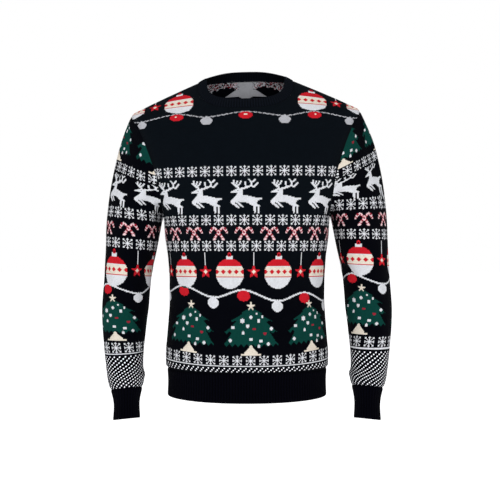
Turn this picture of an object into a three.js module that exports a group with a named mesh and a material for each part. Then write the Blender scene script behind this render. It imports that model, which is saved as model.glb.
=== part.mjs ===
// A knitted crew neck Christmas sweater, hollow and filled out as it is when worn.
// Millimetres, +Z up. The front faces -Y and the wearer's left is +X.
// The origin is midway between the neck points, where the neckband meets the shoulder seams,
// and in the plane of the side seams.
import * as THREE from "three";

// Driving dimensions
const CLOTH = 2.0; // wall of the jacquard knit
const BAND_CLOTH = 2.2; // wall of the ribbed bands, under the ribs
const SEAM_GAP = 0.3; // clearance between two pieces at a seam
const NECK_SEAM_GAP = 0.45; // the same where the neckband's ribs bend round the neck points
const RIB_RISE = 0.9; // how far a rib stands over the valley beside it
const RIB_PITCH = 5.8; // width of one rib and one valley
const RING_POWER = 2.35; // 2 is an ellipse, more is squarer

const NECK_HALF_WIDTH = 103;
const FRONT_NECK_DROP = 64;
const BACK_NECK_RISE = 12;
const NECK_POWER = 2.8;
const NECKBAND_WIDTH = 22;
const NECKBAND_STAND = 0.12; // how much the neckband turns up from the shoulder's slope

const SHOULDER_TIP_Z = -68;
const ARMPIT_Z = -288;
const WAISTBAND_TOP_Z = -612;
const HEM_Z = -669;
const HEM_DROOP = 4.6; // how much lower the front of the hem hangs at its middle
const CUFF_TOP_Z = -657;
const CUFF_END_Z = -716;

// The wearer leans a little: the neck moves sideways and one shoulder stands higher.
const LEAN_FROM_Z = -430;
const LEAN_SHIFT = -3;
const LEAN_TILT = 0.024;

// Level sections of the body, from the hem up.
// half: half width, front and back: depth before and behind the side seam, seam: its y
const BODY = [
  { z: -669, half: 169, front: 111, back: 104, seam: 0 },
  { z: -640, half: 168, front: 110, back: 103, seam: 0 },
  { z: -612, half: 169.5, front: 112, back: 105, seam: 0 },
  { z: -604, half: 173.5, front: 116, back: 109, seam: 0 },
  { z: -580, half: 174, front: 118, back: 110, seam: 0 },
  { z: -550, half: 171.5, front: 118, back: 108, seam: 0 },
  { z: -520, half: 169, front: 117, back: 106, seam: 0 },
  { z: -480, half: 166.5, front: 116, back: 103, seam: 0 },
  { z: -430, half: 166, front: 116, back: 102, seam: 0 },
  { z: -380, half: 168.5, front: 119, back: 105, seam: 0 },
  { z: -330, half: 175, front: 122, back: 110, seam: 0 },
  { z: -288, half: 178, front: 123, back: 114, seam: 1 },
  { z: -240, half: 202, front: 122, back: 117, seam: 2 },
  { z: -190, half: 221, front: 117, back: 118, seam: 3 },
  { z: -131, half: 239, front: 104, back: 113, seam: 5 },
  { z: -100, half: 246, front: 93, back: 104, seam: 6 },
  { z: -82, half: 250, front: 86, back: 97, seam: 7 },
  { z: -68, half: 246, front: 78, back: 91, seam: 8 },
  { z: -51, half: 216, front: 68, back: 84, seam: 8 },
  { z: -34, half: 180, front: 57, back: 76, seam: 8 },
  { z: -17, half: 142, front: 46, back: 68, seam: 8 },
  { z: 0, half: 103, front: 36, back: 61, seam: 8 },
  { z: 13, half: 74, front: 28.2, back: 54.5, seam: 8 },
];

// Where the armhole seam runs, as a half width of the front and of the back.
const ARMHOLE = [
  { z: -288, front: 178, back: 178 },
  { z: -264, front: 180, back: 184 },
  { z: -239, front: 183, back: 190 },
  { z: -213, front: 187, back: 196 },
  { z: -190, front: 193, back: 203 },
  { z: -157, front: 204, back: 213 },
  { z: -131, front: 214, back: 221 },
  { z: -100, front: 228, back: 232 },
  { z: -82, front: 239, back: 241 },
  { z: -68, front: 246, back: 246 },
];

// Level sections of a sleeve, from the cuff up: its middle, its half width and half depth.
const SLEEVE = [
  { z: -716, x: 253, y: -44, half: 27.5, depth: 31 },
  { z: -690, x: 253.5, y: -39, half: 27, depth: 31 },
  { z: -657, x: 254.5, y: -33, half: 30, depth: 34 },
  { z: -650, x: 255, y: -32, half: 35.5, depth: 39.5 },
  { z: -636, x: 256.5, y: -29, half: 38, depth: 42.5 },
  { z: -610, x: 259.5, y: -24, half: 39, depth: 44 },
  { z: -570, x: 262, y: -15, half: 42, depth: 47.5 },
  { z: -525, x: 262.5, y: -6, half: 46.5, depth: 52 },
  { z: -473, x: 260.5, y: 1, half: 50, depth: 56 },
  { z: -430, x: 257.5, y: 5, half: 50, depth: 59 },
  { z: -393, x: 253.5, y: 6, half: 52, depth: 62 },
  { z: -360, x: 249, y: 6, half: 54.5, depth: 65 },
  { z: -330, x: 245.5, y: 5, half: 57, depth: 68 },
  { z: -320, x: 244.5, y: 5, half: 57.8, depth: 68.5 },
];
const UPPER_ARM_Z = -330; // the first full section under the sleeve cap

// Creases of the body: x and z of the middle, the angle of its run from level,
// how long and wide it is, and how far it stands out, or in where it is negative.
const FRONT_CREASES = [
  { x: 132, z: -292, turn: 32, length: 95, width: 17, rise: 4.0 },
  { x: 122, z: -330, turn: 24, length: 80, width: 15, rise: -2.6 },
  { x: -128, z: -300, turn: -38, length: 90, width: 17, rise: 4.0 },
  { x: -120, z: -338, turn: -20, length: 85, width: 15, rise: -2.6 },
  { x: 118, z: -455, turn: -14, length: 90, width: 20, rise: -3.0 },
  { x: -122, z: -470, turn: 17, length: 80, width: 20, rise: -3.0 },
  { x: 92, z: -560, turn: 70, length: 60, width: 24, rise: 2.6 },
  { x: -88, z: -566, turn: -66, length: 60, width: 24, rise: 2.6 },
];
const BACK_CREASES = [
  { x: 128, z: -286, turn: 40, length: 100, width: 18, rise: 4.4 },
  { x: -130, z: -296, turn: -36, length: 95, width: 18, rise: 4.4 },
  { x: 40, z: -448, turn: -8, length: 130, width: 22, rise: -4.0 },
  { x: -50, z: -486, turn: 10, length: 120, width: 22, rise: -3.6 },
  { x: 96, z: -556, turn: 68, length: 70, width: 26, rise: 3.0 },
  { x: -90, z: -552, turn: -72, length: 70, width: 26, rise: 3.0 },
];
// Creases of a sleeve: the place round it (0 outer, 90 front, 180 inner, 270 back) and z.
const SLEEVE_CREASES = [
  { around: 118, z: -252, turn: 62, length: 62, width: 13, rise: -6.0 },
  { around: 96, z: -232, turn: 55, length: 60, width: 15, rise: 3.0 },
  { around: 150, z: -402, turn: 22, length: 60, width: 12, rise: -4.5 },
  { around: 138, z: -436, turn: -16, length: 56, width: 12, rise: -4.0 },
  { around: 120, z: -478, turn: 12, length: 60, width: 13, rise: -3.0 },
  { around: 244, z: -250, turn: -60, length: 62, width: 14, rise: -5.0 },
  { around: 300, z: -470, turn: 15, length: 55, width: 14, rise: -2.4 },
  { around: 170, z: -628, turn: 8, length: 50, width: 10, rise: 3.0 },
];

// How finely each piece is divided
const NECK_COLUMN_SHARES = [0, 0.26, 0.5, 0.71, 0.87, 0.965]; // of the neck's half width
const SHOULDER_COLUMN_SHARES = [0, 0.2, 0.42, 0.64, 0.84, 1]; // from the neck to the tip
const LOW_LEVELS = [-604, -588, -560, -525, -485, -445, -405, -365, -325]; // between hem and armpit
const YOKE_LEVELS = [-285, -276, -258, -232, -202, -172, -142, -114]; // between the armpit and the shoulder
const CAP_FULLNESS_LEFT = 0.72; // how far each sleeve's outer side swells below the shoulder
const CAP_FULLNESS_RIGHT = 0.36;
const YOKE_TOP_ROWS = 4; // from there to the neck and the shoulder seam
const YOKE_ROWS = YOKE_LEVELS.length + YOKE_TOP_ROWS;
const CAP_ROWS = 7;
const SLEEVE_LEVELS = [-360, -393, -425, -455, -485, -520, -560, -600, -630, -645, -652];
const WAISTBAND_ROWS = 3;
const NECKBAND_ROWS = 3;
const CUFF_ROWS = 3;
const RIBS_TO_INNER_STEP = 2; // ribs that one step of a plain inside spans
const PATH_STEPS = 300;

const COLOURS = {
  knit: new THREE.Color(0x0c1020),
  rib: new THREE.Color(0x0a0d1a),
};

const FRONT = -1;
const BACK = 1;
const half = SEAM_GAP / 2;
const radians = THREE.MathUtils.degToRad;

// A smooth curve through one column of a table, with no overshoot between its rows.
function column(table, name) {
  const z = table.map((row) => row.z);
  const value = table.map((row) => row[name]);
  const last = z.length - 1;
  const slope = z.slice(1).map((top, i) => (value[i + 1] - value[i]) / (top - z[i]));
  const tangent = z.map((_, i) => {
    if (i === 0) return slope[0];
    if (i === last) return slope[last - 1];
    if (slope[i - 1] * slope[i] <= 0) return 0;
    return (2 * slope[i - 1] * slope[i]) / (slope[i - 1] + slope[i]);
  });
  return (at) => {
    const level = THREE.MathUtils.clamp(at, z[0], z[last]);
    let i = 0;
    while (i < last - 1 && level > z[i + 1]) i += 1;
    const span = z[i + 1] - z[i];
    const t = (level - z[i]) / span;
    const u = 1 - t;
    return (
      value[i] * u * u * (1 + 2 * t) +
      value[i + 1] * t * t * (3 - 2 * t) +
      tangent[i] * span * t * u * u -
      tangent[i + 1] * span * t * t * u
    );
  };
}

const body = {
  half: column(BODY, "half"),
  front: column(BODY, "front"),
  back: column(BODY, "back"),
  seam: column(BODY, "seam"),
};
const armhole = { front: column(ARMHOLE, "front"), back: column(ARMHOLE, "back") };
const arm = {
  x: column(SLEEVE, "x"),
  y: column(SLEEVE, "y"),
  half: column(SLEEVE, "half"),
  depth: column(SLEEVE, "depth"),
};

const depthOf = (z, side) => (side === FRONT ? body.front(z) : body.back(z));
const armholeOf = (z, side) => (side === FRONT ? armhole.front(z) : armhole.back(z));

// A point of the body's outside at a given x and level, on its front or back.
function onBody(x, z, side) {
  const share = Math.min(1, Math.abs(x) / body.half(z));
  const across = (1 - share ** RING_POWER) ** (1 / RING_POWER);
  return new THREE.Vector3(x, body.seam(z) + side * (half + depthOf(z, side) * across), z);
}

// The outward normal of the body there, from the slope of its sections.
function bodyNormal(point, side) {
  const field = (x, y, z) => {
    const inY = Math.max(0, (y - body.seam(z)) * side - half) / depthOf(z, side);
    return (Math.abs(x) / body.half(z)) ** RING_POWER + inY ** RING_POWER;
  };
  const step = 0.5;
  const { x, y, z } = point;
  const level = z < WAISTBAND_TOP_Z + SEAM_GAP;
  return new THREE.Vector3(
    field(x + step, y, z) - field(x - step, y, z),
    field(x, y + step, z) - field(x, y - step, z),
    level ? 0 : field(x, y, z + step) - field(x, y, z - step),
  ).normalize();
}

// The x of a panel's edge at a level: the side seam, then the armhole, then the shoulder tip.
function edgeX(z, side) {
  if (z <= ARMPIT_Z) return body.half(z);
  if (z >= SHOULDER_TIP_Z) return body.half(SHOULDER_TIP_Z);
  return Math.min(armholeOf(z, side), body.half(z));
}

// The x that lies at a share of the way round a level section, from its middle to the panel's edge.
function xAtShare(share, z, side) {
  const limit = edgeX(z, side);
  const level = Math.min(z, SHOULDER_TIP_Z);
  const steps = 60;
  const xs = Array.from({ length: steps + 1 }, (_, i) => limit * Math.sin((i / steps) * (Math.PI / 2)));
  const lengths = [0];
  for (let i = 1; i <= steps; i += 1) {
    const run = onBody(xs[i], level, side).distanceTo(onBody(xs[i - 1], level, side));
    lengths.push(lengths[i - 1] + run);
  }
  const wanted = Math.abs(share) * lengths[steps];
  let i = 1;
  while (i < steps && lengths[i] < wanted) i += 1;
  const t = (wanted - lengths[i - 1]) / (lengths[i] - lengths[i - 1]);
  return Math.sign(share) * THREE.MathUtils.lerp(xs[i - 1], xs[i], t);
}

// The share round the section at the shoulder tip's level that has a given x.
function shareAtX(x, side) {
  let low = 0;
  let high = 1;
  for (let i = 0; i < 40; i += 1) {
    const middle = (low + high) / 2;
    if (xAtShare(middle, SHOULDER_TIP_Z, side) < Math.abs(x)) low = middle;
    else high = middle;
  }
  return (Math.sign(x) * (low + high)) / 2;
}

// The level of the neck seam or of the shoulder seam over a given x.
function topLevel(x, side) {
  const away = Math.abs(x);
  if (away < NECK_HALF_WIDTH) {
    const left = 1 - (away / NECK_HALF_WIDTH) ** NECK_POWER;
    return side === FRONT ? -FRONT_NECK_DROP * left ** (1 / NECK_POWER) : BACK_NECK_RISE * left;
  }
  let low = SHOULDER_TIP_Z;
  let high = 0;
  for (let i = 0; i < 40; i += 1) {
    const middle = (low + high) / 2;
    if (body.half(middle) > away) low = middle;
    else high = middle;
  }
  return (low + high) / 2;
}

// How far the creases move a point along its normal. dxOf gives its distance across from one.
function creased(table, z, dxOf) {
  return table.reduce((sum, crease) => {
    const dx = dxOf(crease);
    const dz = z - crease.z;
    const turn = radians(crease.turn);
    const along = (dx * Math.cos(turn) + dz * Math.sin(turn)) / (crease.length / 2);
    const aside = (-dx * Math.sin(turn) + dz * Math.cos(turn)) / crease.width;
    return sum + crease.rise * Math.exp(-(aside ** 2) - along ** 4);
  }, 0);
}

// The wearer's lean, for every point of the sweater.
function leaned(point) {
  const share = THREE.MathUtils.clamp(1 - point.z / LEAN_FROM_Z, 0, 1);
  const ease = share * share * (3 - 2 * share);
  return new THREE.Vector3(point.x + LEAN_SHIFT * ease, point.y, point.z + LEAN_TILT * point.x * ease);
}

// One mesh from rows of outer and inner points. ratios holds how many steps of the outside
// go with each step of the inside. Round pieces wrap from the last column to the first.
// The side walls of the others are split along the diagonal that the piece beside them has.
function wall(name, outer, inner, { round = false, colour, ratios = null, frontSides = false }) {
  const points = [];
  const triangles = [];
  const number = (rows) =>
    rows.map((row) =>
      row.map((point) => {
        points.push(leaned(point));
        return points.length - 1;
      }),
    );
  const out = number(outer);
  const ins = number(inner);
  const steps = (rows) => rows[0].length - (round ? 0 : 1);
  const outSteps = steps(out);
  const inSteps = steps(ins);
  const shares = ratios ?? Array(inSteps).fill(outSteps / inSteps);
  const at = (row, i) => row[i % row.length];
  // A quad is split along its shorter diagonal.
  const quad = (a, b, c, d) => {
    const alongAC = points[a].distanceToSquared(points[c]) < points[b].distanceToSquared(points[d]) + 0.01;
    triangles.push(...(alongAC ? [[a, b, c], [a, c, d]] : [[a, b, d], [b, c, d]]));
  };
  const skin = (rows, count, flip) => {
    for (let j = 0; j + 1 < rows.length; j += 1) {
      for (let i = 0; i < count; i += 1) {
        const corners = [at(rows[j], i), at(rows[j], i + 1), at(rows[j + 1], i + 1), at(rows[j + 1], i)];
        if (flip) corners.reverse();
        quad(...corners);
      }
    }
  };
  skin(out, outSteps, false);
  skin(ins, inSteps, true);
  const rim = (outRow, inRow, flip) => {
    const put = (a, b, c) => triangles.push(flip ? [a, c, b] : [a, b, c]);
    let first = 0;
    for (let i = 0; i < inSteps; i += 1) {
      const turn = Math.ceil(shares[i] / 2);
      for (let k = 0; k < shares[i]; k += 1) {
        const apex = at(inRow, k < turn ? i : i + 1);
        put(at(outRow, first + k + 1), at(outRow, first + k), apex);
      }
      put(at(outRow, first + turn), at(inRow, i), at(inRow, i + 1));
      first += shares[i];
    }
  };
  rim(out[0], ins[0], false);
  rim(out[out.length - 1], ins[ins.length - 1], true);
  if (!round) {
    const side = (a, b, c, d, alongAC) =>
      triangles.push(...(alongAC ? [[a, b, c], [a, c, d]] : [[a, b, d], [b, c, d]]));
    for (let j = 0; j + 1 < out.length; j += 1) {
      side(out[j][0], out[j + 1][0], ins[j + 1][0], ins[j][0], frontSides);
      side(out[j + 1][outSteps], out[j][outSteps], ins[j][inSteps], ins[j + 1][inSteps], !frontSides);
    }
  }
  const geometry = new THREE.BufferGeometry();
  geometry.setAttribute(
    "position",
    new THREE.Float32BufferAttribute(points.flatMap((point) => point.toArray()), 3),
  );
  const volume = triangles.reduce(
    (sum, [a, b, c]) => sum + points[a].dot(new THREE.Vector3().crossVectors(points[b], points[c])),
    0,
  );
  geometry.setIndex(triangles.flatMap((face) => (volume < 0 ? [...face].reverse() : face)));
  geometry.computeVertexNormals();
  const material = new THREE.MeshStandardMaterial({ color: colour, roughness: 0.9, metalness: 0 });
  const mesh = new THREE.Mesh(geometry, material);
  mesh.name = name;
  return mesh;
}

const inward = (point, normal, cloth) => point.clone().addScaledVector(normal, -cloth);

// The x of each column of a panel at the shoulder, from the right armhole to the left.
function columnXs() {
  const tip = body.half(SHOULDER_TIP_Z);
  const right = [
    ...NECK_COLUMN_SHARES.map((share) => share * NECK_HALF_WIDTH),
    ...SHOULDER_COLUMN_SHARES.map((share) => THREE.MathUtils.lerp(NECK_HALF_WIDTH, tip, share)),
  ];
  return [...right.slice(1).reverse().map((x) => -x), ...right];
}

// A point of a wale above the shoulder tip's level keeps its x; below it the wales spread.
function onWale(share, topX, z, side) {
  return onBody(z >= SHOULDER_TIP_Z ? topX : xAtShare(share, z, side), z, side);
}

// Points at even steps along a path of points.
function evenly(path, steps) {
  const lengths = [0];
  for (let i = 1; i < path.length; i += 1) lengths.push(lengths[i - 1] + path[i].distanceTo(path[i - 1]));
  const total = lengths[lengths.length - 1];
  return Array.from({ length: steps + 1 }, (_, k) => {
    const wanted = (k / steps) * total;
    let i = 1;
    while (i < path.length - 1 && lengths[i] < wanted) i += 1;
    const t = (wanted - lengths[i - 1]) / (lengths[i] - lengths[i - 1]);
    return path[i - 1].clone().lerp(path[i], t);
  });
}

// Places along one wale of the yoke, above the armpit's level to the neck or shoulder seam.
function yokeColumn(share, topX, side) {
  const from = YOKE_LEVELS[YOKE_LEVELS.length - 1];
  const top = topLevel(topX, side);
  const path = Array.from({ length: PATH_STEPS + 1 }, (_, i) => {
    const z = THREE.MathUtils.lerp(from, top, (1 - Math.cos((Math.PI * i) / PATH_STEPS)) / 2);
    return onWale(share, topX, z, side);
  });
  return [
    ...YOKE_LEVELS.map((z) => onWale(share, topX, z, side)),
    ...evenly(path, YOKE_TOP_ROWS).slice(1),
  ];
}

// The points of a panel and their normals, as rows from the waistband up.
function panelGrid(side) {
  const xs = columnXs();
  const shares = xs.map((x) => (Math.abs(x) < 1e-9 ? 0 : shareAtX(x, side)));
  shares[0] = -1;
  shares[shares.length - 1] = 1;
  const levels = [WAISTBAND_TOP_Z + half, ...LOW_LEVELS, ARMPIT_Z];
  const columns = xs.map((x, i) => [
    ...levels.map((z) => onBody(xAtShare(shares[i], z, side), z, side)),
    ...yokeColumn(shares[i], x, side),
  ]);
  const creases = side === FRONT ? FRONT_CREASES : BACK_CREASES;
  const rows = columns[0].map((_, j) => columns.map((points) => points[j]));
  return rows.map((row, j) =>
    row.map((point, i) => {
      const normal = bodyNormal(point, side);
      const inside = Math.min(1, j / 2, (rows.length - 1 - j) / 2, i / 2, (row.length - 1 - i) / 2);
      const rise = inside * creased(creases, point.z, (crease) => point.x - crease.x);
      return { point: point.clone().addScaledVector(normal, rise), normal };
    }),
  );
}

function panel(name, grid, side) {
  const outer = grid.map((row) => row.map(({ point }) => point));
  const inner = grid.map((row) => row.map(({ point, normal }) => inward(point, normal, CLOTH)));
  return wall(name, outer, inner, { colour: COLOURS.knit, frontSides: side === FRONT });
}

// The armhole seam as a loop: the shoulder tip, down the front, the armpit, up the back.
function armholeLoop(frontGrid, backGrid, hand) {
  const edge = (grid) => {
    const i = hand > 0 ? grid[0].length - 1 : 0;
    return grid.slice(grid.length - 1 - YOKE_ROWS).map((row) => row[i]);
  };
  const front = edge(frontGrid);
  const back = edge(backGrid);
  const between = (a, b) => ({
    point: a.point.clone().lerp(b.point, 0.5),
    normal: a.normal.clone().add(b.normal).normalize(),
  });
  return [
    between(front[YOKE_ROWS], back[YOKE_ROWS]),
    ...front.slice(1, YOKE_ROWS).reverse(),
    between(front[0], back[0]),
    ...back.slice(1, YOKE_ROWS),
  ];
}

// A point of a sleeve's outside. The turn is 0 at the outer side, then front, inner and back.
function onSleeve(turn, z, hand) {
  return new THREE.Vector3(
    hand * (arm.x(z) + arm.half(z) * Math.cos(turn)),
    arm.y(z) - arm.depth(z) * Math.sin(turn),
    z,
  );
}

// One wale of the sleeve cap: it leaves the armhole along the body's surface and ends down the arm.
function capWale(start, leave, turn, hand) {
  const end = onSleeve(turn, UPPER_ARM_Z, hand);
  const down = onSleeve(turn, UPPER_ARM_Z - 10, hand).sub(end).normalize();
  const span = start.distanceTo(end);
  const outer = Math.max(0, Math.cos(turn)) ** 1.5;
  const inner = Math.max(0, -Math.cos(turn)) ** 3;
  const fullness = hand > 0 ? CAP_FULLNESS_LEFT : CAP_FULLNESS_RIGHT;
  const pull = span * (0.26 + fullness * outer + 0.75 * inner);
  const settle = span * (1.05 + 0.5 * inner);
  return Array.from({ length: CAP_ROWS }, (_, k) => {
    const t = k / CAP_ROWS;
    const u = 1 - t;
    return new THREE.Vector3()
      .addScaledVector(start, u * u * (1 + 2 * t))
      .addScaledVector(leave, pull * t * u * u)
      .addScaledVector(end, t * t * (3 - 2 * t))
      .addScaledVector(down, -settle * t * t * u);
  });
}

// The normals of a round grid of points, out of the tube.
function tubeNormals(rows, hand) {
  return rows.map((row, j) =>
    row.map((_, i) => {
      const around = row[(i + 1) % row.length].clone().sub(row[(i + row.length - 1) % row.length]);
      const above = rows[Math.max(0, j - 1)][i];
      const below = rows[Math.min(rows.length - 1, j + 1)][i];
      const along = below.clone().sub(above);
      return new THREE.Vector3().crossVectors(around, along).multiplyScalar(hand).normalize();
    }),
  );
}

function sleeve(name, loop, hand) {
  const count = loop.length;
  const wales = loop.map(({ point, normal }, i) => {
    const before = loop[(i + count - 1) % count].point;
    const after = loop[(i + 1) % count].point;
    const seam = after.clone().sub(before).normalize();
    const leave = new THREE.Vector3().crossVectors(seam, normal).multiplyScalar(-hand).normalize();
    const turn = (i / count) * Math.PI * 2;
    const start = point.clone().addScaledVector(leave, SEAM_GAP);
    return [
      ...capWale(start, leave, turn, hand),
      onSleeve(turn, UPPER_ARM_Z, hand),
      ...SLEEVE_LEVELS.map((z) => onSleeve(turn, z, hand)),
      onSleeve(turn, CUFF_TOP_Z + half, hand),
    ];
  });
  const rows = wales[0].map((_, j) => wales.map((points) => points[j]));
  const normals = tubeNormals(rows, hand);
  normals[0] = loop.map(({ normal }) => normal);
  const outer = rows.map((row, j) =>
    row.map((point, i) => {
      const dxOf = (crease) => {
        const apart = (i / count) * 360 - crease.around;
        return radians(THREE.MathUtils.euclideanModulo(apart + 180, 360) - 180) * arm.half(point.z);
      };
      const inside = Math.min(1, j / 2, (rows.length - 1 - j) / 2);
      const rise = inside * creased(SLEEVE_CREASES, point.z, dxOf);
      return point.clone().addScaledVector(normals[j][i], rise);
    }),
  );
  const inner = outer.map((row, j) => row.map((point, i) => inward(point, normals[j][i], CLOTH)));
  return wall(name, outer, inner, { round: true, colour: COLOURS.knit });
}

// Whole ribs that fit a length, in a number that the plain inside can share out.
function ribCount(length) {
  return RIBS_TO_INNER_STEP * Math.round(length / RIB_PITCH / RIBS_TO_INNER_STEP);
}

// A half of the waistband: level sections with a rib at every other point.
function waistband(name, side) {
  const section = (z) =>
    Array.from({ length: PATH_STEPS + 1 }, (_, i) => {
      const x = -body.half(z) * Math.cos((i / PATH_STEPS) * Math.PI);
      return onBody(x, z, side);
    });
  const length = section(HEM_Z).reduce((sum, p, i, all) => (i ? sum + p.distanceTo(all[i - 1]) : 0), 0);
  const ribs = ribCount(length);
  const levels = Array.from({ length: WAISTBAND_ROWS + 1 }, (_, j) =>
    THREE.MathUtils.lerp(WAISTBAND_TOP_Z - half, HEM_Z, j / WAISTBAND_ROWS),
  );
  const drooped = (point) => {
    if (side === BACK) return point;
    const low = THREE.MathUtils.smoothstep(WAISTBAND_TOP_Z - point.z, 0, WAISTBAND_TOP_Z - HEM_Z);
    const z = point.z - HEM_DROOP * low * Math.max(0, 1 - (point.x / body.half(point.z)) ** 2);
    return new THREE.Vector3(point.x, point.y, z);
  };
  const outer = levels.map((z) =>
    evenly(section(z), ribs * 2).map((point, i) => {
      const rise = i % 2 === 0 ? 0 : RIB_RISE;
      return drooped(point).addScaledVector(bodyNormal(point, side), rise);
    }),
  );
  const inner = levels.map((z) =>
    evenly(section(z), ribs / RIBS_TO_INNER_STEP).map((point) =>
      inward(drooped(point), bodyNormal(point, side), BAND_CLOTH),
    ),
  );
  return wall(name, outer, inner, { colour: COLOURS.rib });
}

function cuff(name, hand) {
  const sizes = { half: arm.half(CUFF_END_Z), depth: arm.depth(CUFF_END_Z) };
  const ribs = ribCount(Math.PI * (sizes.half + sizes.depth));
  const levels = Array.from({ length: CUFF_ROWS + 1 }, (_, j) =>
    THREE.MathUtils.lerp(CUFF_TOP_Z - half, CUFF_END_Z, j / CUFF_ROWS),
  );
  const ring = (z, steps, move) =>
    Array.from({ length: steps }, (_, i) => {
      const turn = (i / steps) * Math.PI * 2;
      const outward = new THREE.Vector3(
        (hand * Math.cos(turn)) / arm.half(z),
        -Math.sin(turn) / arm.depth(z),
        0,
      ).normalize();
      return onSleeve(turn, z, hand).addScaledVector(outward, move(i));
    });
  const outer = levels.map((z) => ring(z, ribs * 2, (i) => (i % 2 === 0 ? 0 : RIB_RISE)));
  const inner = levels.map((z) => ring(z, ribs / RIBS_TO_INNER_STEP, () => -BAND_CLOTH));
  return wall(name, outer, inner, { round: true, colour: COLOURS.rib });
}

// The neck seam as a loop of the panels' own edge points, front then back.
function neckLoop(frontGrid, backGrid) {
  const edge = (grid) => {
    const row = grid[grid.length - 1];
    const count = NECK_COLUMN_SHARES.length;
    const middle = (row.length - 1) / 2;
    return row.slice(middle - count, middle + count + 1);
  };
  const front = edge(frontGrid);
  const back = edge(backGrid).reverse();
  const last = front.length - 1;
  const between = (a, b) => ({
    point: a.point.clone().lerp(b.point, 0.5),
    normal: a.normal.clone().add(b.normal).normalize(),
  });
  return [
    between(front[0], back[last]),
    ...front.slice(1, last),
    between(front[last], back[0]),
    ...back.slice(1, last),
  ];
}

// The neckband starts at each point of the seam, with whole ribs between two of them.
function neckband(loop) {
  const count = loop.length;
  const anchors = loop.map(({ point, normal }, i) => {
    const before = loop[(i + count - 1) % count].point;
    const after = loop[(i + 1) % count].point;
    const seam = after.clone().sub(before).normalize();
    const rise = new THREE.Vector3().crossVectors(normal, seam).normalize();
    rise.z += NECKBAND_STAND;
    return { point, normal, rise: rise.normalize() };
  });
  const ribs = anchors.map(({ point }, i) =>
    Math.max(1, Math.round(point.distanceTo(anchors[(i + 1) % count].point) / RIB_PITCH)),
  );
  const place = (a, b, t, up, move) =>
    a.point
      .clone()
      .lerp(b.point, t)
      .addScaledVector(a.rise.clone().lerp(b.rise, t).normalize(), up)
      .addScaledVector(a.normal.clone().lerp(b.normal, t).normalize(), move);
  const ups = Array.from({ length: NECKBAND_ROWS + 1 }, (_, j) =>
    THREE.MathUtils.lerp(NECK_SEAM_GAP, NECKBAND_WIDTH, j / NECKBAND_ROWS),
  );
  const outer = ups.map((up) =>
    anchors.flatMap((a, i) =>
      Array.from({ length: ribs[i] * 2 }, (_, k) =>
        place(a, anchors[(i + 1) % count], k / ribs[i] / 2, up, k % 2 === 0 ? 0 : RIB_RISE),
      ),
    ),
  );
  const inner = ups.map((up) => anchors.map((a) => place(a, a, 0, up, -BAND_CLOTH)));
  const ratios = ribs.map((number) => number * 2);
  return wall("neckband", outer, inner, { round: true, colour: COLOURS.rib, ratios });
}

function sweater() {
  const group = new THREE.Group();
  group.name = "christmas_sweater";
  const frontGrid = panelGrid(FRONT);
  const backGrid = panelGrid(BACK);
  group.add(panel("front", frontGrid, FRONT));
  group.add(panel("back", backGrid, BACK));
  group.add(waistband("waistband_front", FRONT));
  group.add(waistband("waistband_back", BACK));
  group.add(neckband(neckLoop(frontGrid, backGrid)));
  for (const [suffix, hand] of [["left", 1], ["right", -1]]) {
    group.add(sleeve(`sleeve_${suffix}`, armholeLoop(frontGrid, backGrid, hand), hand));
    group.add(cuff(`cuff_${suffix}`, hand));
  }
  return group;
}

export default sweater();
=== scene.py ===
import math

import bmesh
import bpy
import numpy as np
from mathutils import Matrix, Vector


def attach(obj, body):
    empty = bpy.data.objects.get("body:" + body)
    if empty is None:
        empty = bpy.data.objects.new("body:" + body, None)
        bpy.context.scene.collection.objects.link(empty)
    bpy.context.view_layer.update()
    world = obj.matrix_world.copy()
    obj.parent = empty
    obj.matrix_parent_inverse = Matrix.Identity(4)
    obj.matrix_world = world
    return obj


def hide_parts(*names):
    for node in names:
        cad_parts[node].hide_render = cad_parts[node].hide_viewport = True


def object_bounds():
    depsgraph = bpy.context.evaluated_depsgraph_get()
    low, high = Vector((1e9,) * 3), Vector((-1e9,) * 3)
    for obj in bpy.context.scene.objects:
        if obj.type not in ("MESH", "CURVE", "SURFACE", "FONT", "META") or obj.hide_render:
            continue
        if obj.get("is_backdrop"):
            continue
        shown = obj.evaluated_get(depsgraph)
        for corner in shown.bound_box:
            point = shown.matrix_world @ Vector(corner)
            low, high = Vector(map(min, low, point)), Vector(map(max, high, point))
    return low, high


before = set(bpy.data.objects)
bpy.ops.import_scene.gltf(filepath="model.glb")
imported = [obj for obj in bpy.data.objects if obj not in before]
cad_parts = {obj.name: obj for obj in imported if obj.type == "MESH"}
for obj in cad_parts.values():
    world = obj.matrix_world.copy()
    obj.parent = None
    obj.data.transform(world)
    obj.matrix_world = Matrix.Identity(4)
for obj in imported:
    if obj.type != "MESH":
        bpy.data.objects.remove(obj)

cad_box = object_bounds()
scene = bpy.context.scene
FRONT, BACK = -1, 1
LEFT, RIGHT = 1, -1

# Sizes of the cut, in millimetres
CLOTH = 2.0
RIB_RISE = 1.0
RIB_PITCH = 5.8
RING_POWER = 2.35  # how square the body's level sections are, where 2 is an ellipse
NECK_HALF_WIDTH = 103
FRONT_NECK_DROP = 64
BACK_NECK_RISE = 12
NECK_POWER = 2.8
NECKBAND_WIDTH = 22
NECKBAND_STAND = 0.12
NECKBAND_BULGE = 0.7
NECKBAND_SOFTENING = 9
NECK_INSET = 0.99999  # keeps the neck's seam just inside the neck points
SHOULDER_TIP_Z = -68
YOKE_Z = -114
ARMPIT_Z = -288
WAISTBAND_TOP_Z = -612
HEM_Z = -669
HEM_DROOP = 4.6
CUFF_SLOPE_FROM_Z = -600
CUFF_TOP_Z = -657
CUFF_END_Z = -716
UPPER_ARM_Z = -330
LEAN_FROM_Z = -430
LEAN_SHIFT = -3
LEAN_TILT = 0.024
CAP_FULLNESS = {LEFT: 0.72, RIGHT: 0.36}
SEAM_ZONE = 12  # beside a rib's seam, where the rows of points lie closer

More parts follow.
